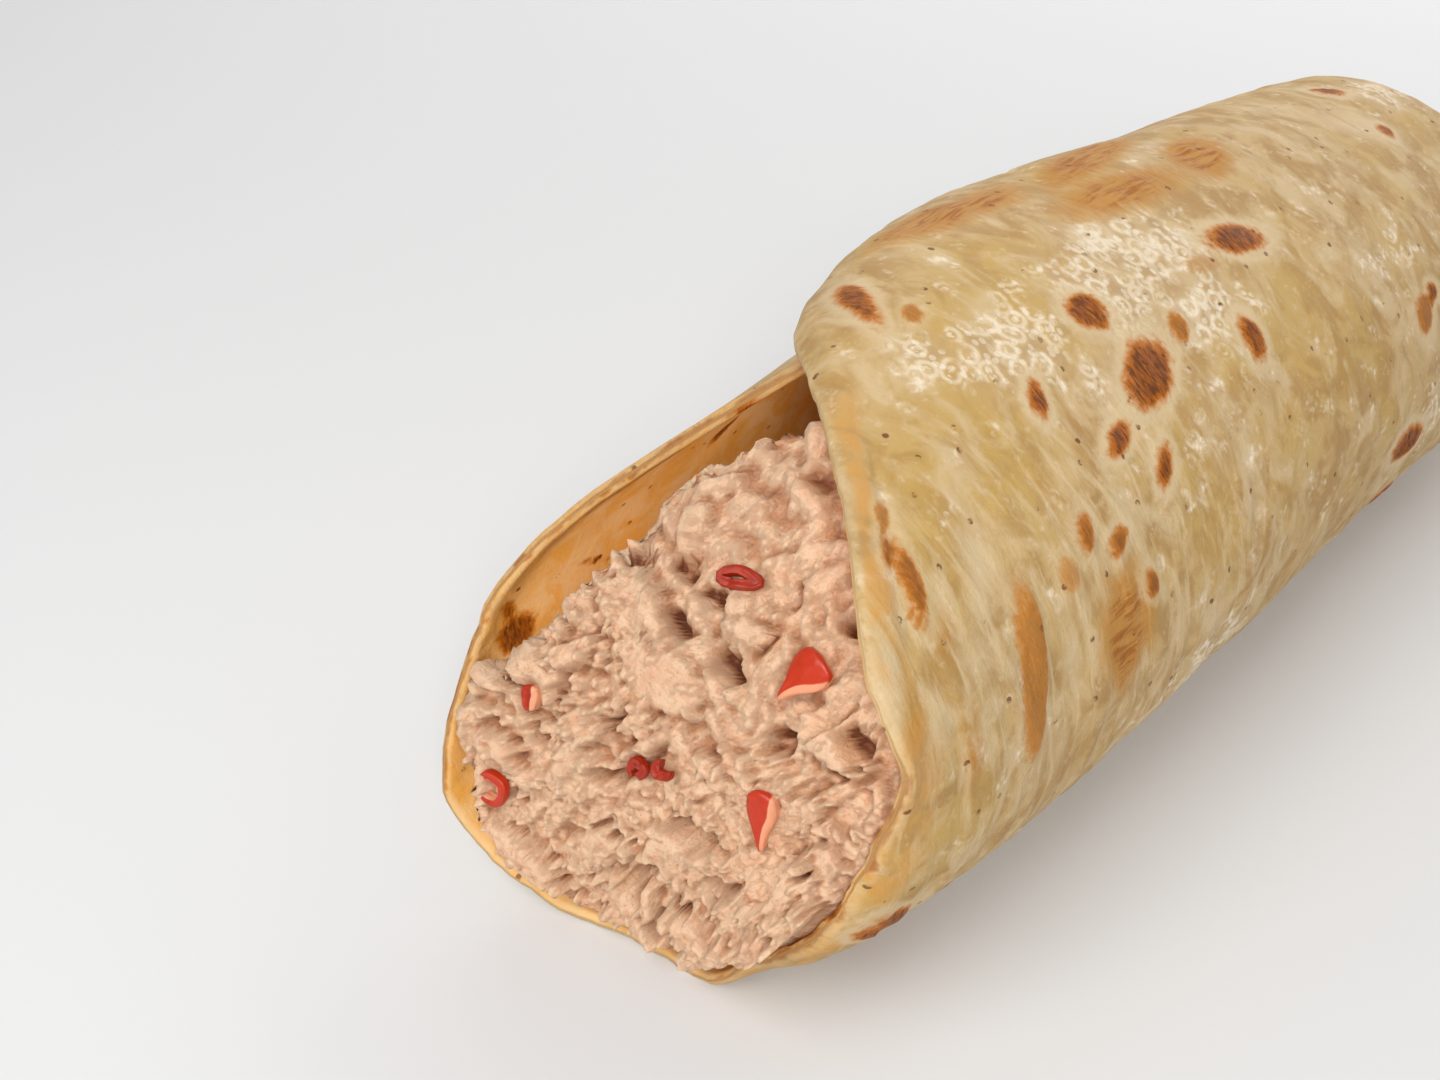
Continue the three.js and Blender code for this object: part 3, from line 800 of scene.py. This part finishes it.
def scatter(heap, count, turns, reaches, shape):
    """Spreads flakes evenly over part of an end, between two turns and two reaches."""
    outward = heap["end"][1]
    for i in range(count):
        turn = turns[0] + (turns[1] - turns[0]) * ((i * EVEN_TURN + 0.37) % 1) + random.uniform(-4, 4)
        turn = START_ANGLE + (turn - START_ANGLE) % 360
        share = (i + random.uniform(0.2, 0.8)) / count
        reach = math.sqrt(reaches[0] ** 2 + (reaches[1] ** 2 - reaches[0] ** 2) * share)
        turns_near = np.array([turn, turn + 1.0, turn])
        corner = skin_place(heap["end"], turns_near, np.array([reach, reach, reach + 0.01]))
        out = Vector(np.cross(corner[1] - corner[0], corner[2] - corner[0])).normalized()
        from_middle = Vector(corner[0]) - Vector((0, corner[0][1] - outward * 12, CORE_HEIGHT))
        out = out if out.dot(from_middle) > 0 else -out
        drift = noise.noise(Vector((corner[0][0] / 12, corner[0][2] / 12, 5 * outward)))
        lie = 150 * drift + random.uniform(-45, 45)
        lay_flake(heap, frame_at(Vector(corner[0]), out), lie, *shape(), random.uniform(3, 400))


def tilts(along, across):
    return random.gauss(0, along), random.gauss(0, across)


# Each shape gives a flake's length and width, how proud it stands, its tilts and how deep its fibres are.
def smear():
    long = random.uniform(6, 10)
    return long, long * random.uniform(0.5, 0.8), random.uniform(0.5, 0.9), tilts(0.06, 0.1), 0.07


def slab():
    long = random.uniform(3.6, 7.5)
    wide = random.uniform(1.6, 3.4)
    return long, wide, random.uniform(0.3, 1.0), tilts(0.12, 0.22), random.uniform(0.1, 0.24)


def shred():
    long = random.uniform(1.4, 3.6)
    return long, random.uniform(0.4, 1.0), random.uniform(0.25, 0.8), tilts(0.16, 0.16), 0.1


def crumb():
    size = random.uniform(0.5, 1.5)
    return size * random.uniform(1, 1.8), size, random.uniform(0.3, 0.85), tilts(0.2, 0.2), 0.1


# The larger pieces that stand out at the open end: across, up, length, width, how proud, fibres and turn.
FRONT_FLAKES = [
    (-9, 36.8, 9.5, 7, 0.9, 0.05, -12), (-2.4, 32.4, 11.5, 6.4, 0.9, 0.05, -12),
    (-6, 11.4, 12, 4.6, 1.1, 0.1, 44), (4.6, 16.4, 8, 6, 0.6, 0.06, 10), (14.6, 14.8, 8, 5, 0.6, 0.08, 60),
    (-16.4, 10.6, 7.4, 4.8, 0.7, 0.08, -50), (-7.8, 46.5, 7, 2, 1.4, 0.22, 42),
    (-7.5, 43.8, 4.6, 4.2, 1.5, 0.25, 34), (-10.4, 43.2, 4.6, 1.3, 1.2, 0.2, -37),
    (-8.4, 26, 5.2, 5, 1.6, 0.22, 51), (-1.2, 26.4, 10, 1.8, 1.5, 0.25, 47),
    (0.2, 7.4, 9.2, 3.2, 1.7, 0.14, -47), (2.6, 9, 6.6, 1.8, 1.6, 0.1, -88),
    (9.2, 9.6, 7.6, 3, 1.5, 0.16, -24), (13.5, 11, 4, 1.8, 1.6, 0.1, -80), (-21.2, 26, 6, 1.7, 1.4, 0.2, -1),
    (16.6, 32.8, 8.3, 3.8, 1.2, 0.34, -9), (8.4, 43.4, 6.6, 2.8, 1.1, 0.25, 52),
    (4.2, 38.2, 7, 3.2, 1.4, 0.34, 10), (7.1, 26.4, 5.4, 2.6, 1.4, 0.28, -27),
    (16.1, 36.8, 5.6, 2, 1.3, 0.3, 38), (1.5, 47.4, 7.6, 2.8, 1.3, 0.28, -21),
    (-13.6, 8.2, 9.3, 3.2, 1.2, 0.24, -29), (17.6, 19.2, 10, 3.4, 1.1, 0.24, 52),
    (-12.4, 31.4, 5.4, 2.8, 1.4, 0.25, 49), (-18.8, 19.6, 7, 3.2, 1.2, 0.24, -4),
    (6.6, 33.4, 5, 2.2, 1.2, 0.28, -15),
]
# The gaps between them: across, up, half length, half width, turn and depth.
FRONT_GAPS = [
    (-6.2, 40.8, 1.8, 1, 2, 3), (3.3, 35.4, 2.4, 1.4, -30, 3.6), (11.7, 31.2, 2.4, 1.7, 40, 3.6),
    (6.2, 19.2, 3, 1.3, -12, 3.4), (-5.2, 20.8, 2.4, 1.2, 9, 3.2), (13.6, 41.2, 2, 1, 11, 3),
    (-2, 40, 2.1, 1, -17, 2.8), (19.4, 33.6, 2.4, 1.1, -46, 3.2), (-4.6, 37.2, 2.8, 0.8, -26, 2.4),
    (-11.6, 40.4, 2, 0.9, 30, 2.6), (10.4, 15.6, 2.2, 1, 20, 2.6), (-14.6, 21.8, 2, 0.9, -40, 2.6),
    (1.4, 12.4, 3.4, 0.9, 46, 2.8), (-12.2, 28.6, 2.4, 0.8, 60, 2.4), (-9.6, 48.6, 2, 0.8, 20, 2.4),
]
for heap, density in zip(heaps, (1.0, 0.8)):
    scatter(heap, int(10 * density), (0, 360), (0.1, 0.9), smear)
    scatter(heap, int(140 * density), (0, 360), (0, 1.02), slab)
    scatter(heap, int(230 * density), (0, 360), (0, 1.0), shred)
    scatter(heap, int(260 * density), (0, 360), (0, 1.0), crumb)
scatter(heaps[0], 26, (290, 345), (0.84, 0.95), slab)
scatter(heaps[0], 40, (20, 200), (0.95, 1.4), slab)
scatter(heaps[0], 70, (20, 200), (0.95, 1.4), shred)
for x, z, long, wide, proud, fibres, lie in FRONT_FLAKES:
    place = end_frame(front_station, -1, x, z)
    tilt = tilts(0.06, 0.08)
    lay_flake(heaps[0], place, lie, long, wide, proud, tilt, fibres, random.uniform(3, 400))
front_base = heaps[0]["base"]
ragged_edge = 0.5 * noise_at(*(front_base / 1.3).T) + 0.5 * noise_at(*(front_base / 0.6).T)
for x, z, half_long, half_wide, lie, deep in FRONT_GAPS:
    own = end_frame(front_station, -1, x, z) @ turned(lie)
    local = (front_base - np.array(own.translation)) @ np.array(own.to_3x3())
    off = np.hypot(local[:, 0] / half_long, local[:, 1] / half_wide) + ragged_edge
    heaps[0]["height"] -= deep * (1 - smooth(0.55, 1.1, off)) * (np.abs(local[:, 2]) < 6)
for heap, density in zip(heaps, (1.0, 0.8)):
    scatter(heap, int(60 * density), (0, 360), (0, 1.0), shred)
    scatter(heap, int(420 * density), (0, 360), (0, 1.0), crumb)

# Mayonnaise coats the flakes and rounds their steeper edges. Where the two ends meet, the side is smooth.
places, fibre_place, flake_tone = (np.zeros((len(filling_mesh.verts), n)) for n in (3, 3, 1))
for heap in heaps:
    side = int(math.sqrt(len(heap["base"])))
    coated = np.pad(heap["height"].reshape(side, side), 1, mode="edge")
    coated = (coated[:-2, 1:-1] + coated[2:, 1:-1] + coated[1:-1, :-2] + coated[1:-1, 2:]).ravel() / 4
    rough = 0.24 * noise_at(*(heap["base"] / 1.0).T) + 0.16 * noise_at(*(heap["base"] / 0.5).T)
    coating = np.clip(np.abs(heap["height"] - coated) / 0.7, 0.25, 0.9)
    height = RELIEF * (heap["height"] + coating * (coated - heap["height"])) + rough
    height += heap["meets"] * (-CORE_SINK + 0.8 * noise_at(*(heap["base"] / 9).T) - height)
    bare = heap["meets"] > 0.5
    heap["fibre"][bare] = heap["base"][bare][:, (1, 0, 2)]
    heap["tone"][bare] = 0.5
    index = heap["first"] + heap["order"]
    places[index] = heap["base"] + heap["normal"] * height[:, None]
    fibre_place[index] = heap["fibre"]
    flake_tone[index, 0] = heap["tone"]
bmesh.ops.bridge_loops(filling_mesh, edges=[e for e in filling_mesh.edges if e.is_boundary])
for vert, place in zip(filling_mesh.verts, places):
    vert.co = place
bmesh.ops.recalc_face_normals(filling_mesh, faces=filling_mesh.faces)
if filling_mesh.calc_volume(signed=True) < 0:
    bmesh.ops.reverse_faces(filling_mesh, faces=filling_mesh.faces)

# Nothing of it goes past the bread's inner face.
width = half_width(places[:, 1])
centre_z = width * HEIGHT_SHARE + (THICKNESS + GAP) * (270 - START_ANGLE) / 360 + THICKNESS / 2 - FLAT_SINK
turn = np.degrees(np.arctan2((places[:, 2] - centre_z) / HEIGHT_SHARE, places[:, 0])) % 360
turn = np.where(turn < START_ANGLE, turn + 360, turn)
wall_place = in_roll(turn, places[:, 1], -THICKNESS / 2 - WALL_ROOM, first_layer(turn))
own_reach = np.hypot(places[:, 0], places[:, 2] - centre_z)
wall_reach = np.hypot(wall_place[:, 0], wall_place[:, 2] - centre_z)
pull_in = np.minimum(1, (wall_reach - 0.05) / np.maximum(own_reach, 0.1))
places[:, 0] *= pull_in
places[:, 2] = centre_z + (places[:, 2] - centre_z) * pull_in

# The hollows that hold the pieces of pepper: across and up the end, width, height, bend, turn and tilt, how
# much one end tapers, the side where the flesh shows, how deep its red is, and how far round it curls.
PEPPER_THICKNESS = 1.4
PEPPER_ROOM = 0.25
PEPPER_PROUD = 0.3
FRONT_PEPPERS = [
    (0.3, 41.3, 5.6, 2.8, 4, 14, 0, 0.2, -90, 0.9, 400), (11.7, 36.6, 4.8, 6.2, 4, -24, 12, 0.75, -35, 0, 0),
    (-15.4, 26.3, 2.2, 2.8, 4, 15, 0, 0.2, 0, 0.7, 0), (-17.8, 14.9, 3.6, 4.4, 3.5, 0, 0, 0.3, 0, 0.1, 230),
    (-1.2, 24, 2.8, 2.8, 4, 0, 8, 0.1, 90, 1, 280), (2.3, 25.6, 2.4, 2.6, 4, 30, -8, 0.1, -150, 1, 260),
    (13.2, 24.2, 3.6, 6.6, 4, 12, 10, 0.7, -20, 0.1, 0),
]
BACK_PEPPERS = [
    (-8, 31, 5, 4, 5, 40, 5, 0.5, 0, 0, 0), (9, 19, 4.4, 3, 4, -30, 0, 0.3, 90, 0.8, 400),
    (5, 37, 3, 2.8, 4, 10, 8, 0.2, 0, 0.6, 250), (-10, 13, 3.2, 5.4, 5, 20, 0, 0.6, -40, 0, 0),
]
pepper_pieces = []
for end_name, pieces, station, outward in (
    ("pepper_front", FRONT_PEPPERS, front_station, -1), ("pepper_back", BACK_PEPPERS, back_station, 1),
):
    for i, piece in enumerate(pieces):
        name = f"{end_name}_{i + 1}"
        low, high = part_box(name)
        middle = (low + high) / 2 / MM - Vector(ROLL_PLACE)
        own = end_frame(station, outward, piece[0], piece[1])
        own.translation = middle + own.to_3x3() @ Vector((0, 0, PEPPER_PROUD))
        own = own @ turned(piece[5]) @ Matrix.Rotation(math.radians(piece[6]), 4, "X")
        pepper_pieces.append((name, piece, own))
        local = np.c_[places, np.ones(len(places))] @ np.array(own.inverted()).T
        off = np.hypot(local[:, 0] / (piece[2] / 2), local[:, 1] / (piece[3] / 2)) - 1
        level = -PEPPER_ROOM + np.clip(off, 0, None) * 1.6 - local[:, 0] ** 2 / (2 * piece[4])
        sink = np.clip(local[:, 2] - level, 0, None) * (off < 1.5) * (local[:, 2] < 7)
        places -= sink[:, None] * np.array(own.to_3x3().col[2])
for vert, place in zip(filling_mesh.verts, places):
    vert.co = place
filling_mesh.normal_update()
normals = np.array([v.normal for v in filling_mesh.verts])
link_ends = np.array([[v.index for v in e.verts] for e in filling_mesh.edges])
link_length = np.linalg.norm(places[link_ends[:, 0]] - places[link_ends[:, 1]], axis=1)
link_ends = link_ends[link_length < LONGEST_LINK]
own_ends, other_ends = link_ends.ravel(), link_ends[:, ::-1].ravel()
neighbours = np.bincount(own_ends, minlength=len(places))


def neighbour_mean(values):
    parts = np.reshape(values, (len(values), -1)).T
    means = [np.bincount(own_ends, part[other_ends], len(values)) / neighbours for part in parts]
    return np.reshape(np.stack(means, axis=-1), values.shape)


# How deep each place lies below what is round it, which the material darkens as painted shade.
softened = places
for _ in range(4):
    softened = neighbour_mean(softened)
hollow = neighbour_mean(np.sum((softened - places) * normals, axis=1))

for vert, place in zip(filling_mesh.verts, (places + ROLL_PLACE) * MM):
    vert.co = place
filling = object_from(filling_mesh, "tuna_heap")
keep(filling.data, "fibre_place", fibre_place, "FLOAT_VECTOR")
keep(filling.data, "flake_tone", flake_tone)
keep(filling.data, "heap_place", places, "FLOAT_VECTOR")
keep(filling.data, "hollow", hollow)

TUNA_CREAM = (226, 190, 156)
TUNA_FLESH = (218, 172, 136)
TUNA_PINK = (206, 156, 124)
TUNA_SHADE = (176, 118, 78)
# The darkest painted shade, for the deepest hollows of the filling.
TUNA_DEEP_SHADE = (116, 54, 22)

tuna_material, tree, shader = new_material("tuna_and_mayonnaise", 0.5)
heap = attribute("heap_place", "Vector")
fibre = attribute("fibre_place", "Vector")
clumps = grain(heap, 0.2, 3, 0.6)
flesh = grain(heap, 0.7, 4, 0.5)
strands = grain(stretched(fibre, (0.7, 2.4, 1)), 1.0, 4, 0.8)
crumbs = grain(heap, 2.4, 3, 0.3)
colour = blend_colour(share_of(flesh, 0.36, 0.62), TUNA_FLESH, TUNA_CREAM)
colour = blend_colour(share_of(clumps, 0.5, 0.68, 0.5), colour, TUNA_PINK)
own_tone = attribute("flake_tone")
colour = blend_colour(share_of(own_tone, 0.3, 0.0, 0.22), colour, TUNA_PINK)
colour = blend_colour(share_of(own_tone, 0.6, 1.0, 0.45), colour, TUNA_CREAM)
colour = blend_colour(share_of(strands, 0.48, 0.34, 0.3), colour, TUNA_SHADE)
colour = blend_colour(share_of(crumbs, 0.6, 0.75, 0.4), colour, TUNA_CREAM)
colour = blend_colour(share_of(crumbs, 0.42, 0.3, 0.5), colour, TUNA_SHADE)
# Painted shade and highlight: hollows are darkened to shaded and deep brown, and raised places are painted a
# lighter cream.
depth = attribute("hollow")
colour = blend_colour(share_of(depth, -0.02, -0.14, 0.5), colour, TUNA_CREAM)
colour = blend_colour(share_of(depth, 0.045, 0.2, 0.75), colour, TUNA_SHADE)
colour = blend_colour(share_of(depth, 0.18, 0.42, 0.9), colour, TUNA_DEEP_SHADE)
tree.links.new(colour, shader.inputs["Base Color"])
height = plus(times(strands, 0.5), times(crumbs, 0.8))
roughen(height, 0.6, 0.4)
set_shine(0.45, 0.25, (1.0, 0.5, 0.35), 1.2)
filling.data.materials.append(tuna_material)
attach(filling, "root")
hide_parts("tuna_filling")

# The pepper: small cut pieces of sweet red pepper pressed into the filling at both ends, with a shiny skin
# and paler flesh where the knife went through.
PEPPER_SKIN = (190, 50, 18)
PEPPER_DEEP = (156, 38, 10)
PEPPER_FLESH = (236, 172, 132)
STRIP_WIDTH = 1.1

pepper_material, tree, shader = new_material("red_pepper", 0.36)
cut = attribute("cut_edge")
place = add_node("ShaderNodeTexCoord").outputs["Object"]
skin_grain = grain(place, 700.0, 3)
deep_share = plus(times(attribute("deep_red"), 0.8), times(plus(skin_grain, -0.5), 1.8))
colour = blend_colour(share_of(deep_share, 0.05, 0.8), PEPPER_SKIN, PEPPER_DEEP)
flesh_share = share_of(plus(cut, times(plus(skin_grain, -0.5), 0.7)), 0.4, 0.8, 0.8)
colour = blend_colour(flesh_share, colour, PEPPER_FLESH)
tree.links.new(colour, shader.inputs["Base Color"])
roughen(skin_grain, 0.4, 0.25)
set_shine(0.4, 0.1, (1.0, 0.2, 0.1), 0.6)


def curl_line(wide, tall, curl, opening):
    """The middle line of a curled strip: an arc, or for more than a full turn a loop with a waist."""
    steps = np.linspace(-1, 1, 61)
    if curl > 360:
        around = math.radians(165) * steps + 1.2
        waist = 1 - 0.5 * np.sin(around) ** 2
        line = np.stack([np.cos(around), np.sin(around)], axis=-1) * waist[:, None]
    else:
        heading = math.radians(opening + 90) + math.radians(curl / 2) * steps
        line = np.stack([np.cumsum(np.cos(heading)), np.cumsum(np.sin(heading))], axis=-1)
    wander = np.stack([noise_at(steps * 2.4, wide, 0), noise_at(steps * 2.4, tall, 9)], axis=-1)
    line += wander * 0.2 * np.ptp(line)
    line -= (line.max(axis=0) + line.min(axis=0)) / 2
    size = line.max(axis=0) - line.min(axis=0)
    return steps, line * np.array([(wide - STRIP_WIDTH) / size[0], (tall - STRIP_WIDTH) / size[1]])


def line_place(u, steps, line):
    return Vector([float(np.interp(u, steps, line[:, k])) for k in (0, 1)])


for name, piece, pepper_place in pepper_pieces:
    wide, tall, bend, taper, flesh_turn, deep_red, curl = piece[2], piece[3], piece[4], *piece[7:]
    pepper_mesh = bmesh.new()
    bmesh.ops.create_cube(pepper_mesh, size=2)
    bmesh.ops.subdivide_edges(pepper_mesh, edges=pepper_mesh.edges, cuts=15, use_grid_fill=True)
    seed = random.uniform(0, 100)
    cut_edge = []
    steps, line = curl_line(wide, tall, curl or 180, flesh_turn)
    for vert in pepper_mesh.verts:
        u, v, w = vert.co
        uneven = 0.14 * noise.noise(Vector((u * 2, v * 2, seed + w)))
        if curl:
            ahead = line_place(u + 0.02, steps, line) - line_place(u - 0.02, steps, line)
            away = Vector((ahead[1], -ahead[0])).normalized() * (w * (0.56 - 0.12 * v * v) + uneven)
            vert.co = (*(line_place(u, steps, line) + away), STRIP_WIDTH / 2 * v + uneven - 0.1)
            cut_edge.append(0.75 * (1 - deep_red) * smooth(0.2, 1, -w))
        else:
            narrow = 1 - taper * smooth(-0.6, 1, -v)
            x = u * math.sqrt(1 - 0.36 * v * v) * wide / 2 * narrow
            y = v * math.sqrt(1 - 0.3 * u * u) * tall / 2
            rim = max(abs(u), abs(v)) ** 6
            half_thick = (1 - 0.3 * rim) * PEPPER_THICKNESS / 2
            vert.co = Vector((x, y, w * half_thick - x * x / (2 * bend) + uneven))
            along = u * math.cos(math.radians(flesh_turn)) + v * math.sin(math.radians(flesh_turn))
            cut_edge.append(smooth(0.2, 0.5, along + 0.3 * uneven) + 0.6 * (w < -0.3))
    for vert in pepper_mesh.verts:
        vert.co = (pepper_place @ vert.co + Vector(ROLL_PLACE)) * MM
    bmesh.ops.smooth_vert(
        pepper_mesh, verts=pepper_mesh.verts, factor=0.5, use_axis_x=True, use_axis_y=True, use_axis_z=True,
    )
    bmesh.ops.recalc_face_normals(pepper_mesh, faces=pepper_mesh.faces)
    pepper = object_from(pepper_mesh, name + "_piece")
    keep(pepper.data, "cut_edge", cut_edge)
    keep(pepper.data, "deep_red", [deep_red] * len(cut_edge))
    pepper.data.materials.append(pepper_material)
    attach(pepper, "root")
    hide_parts(name)
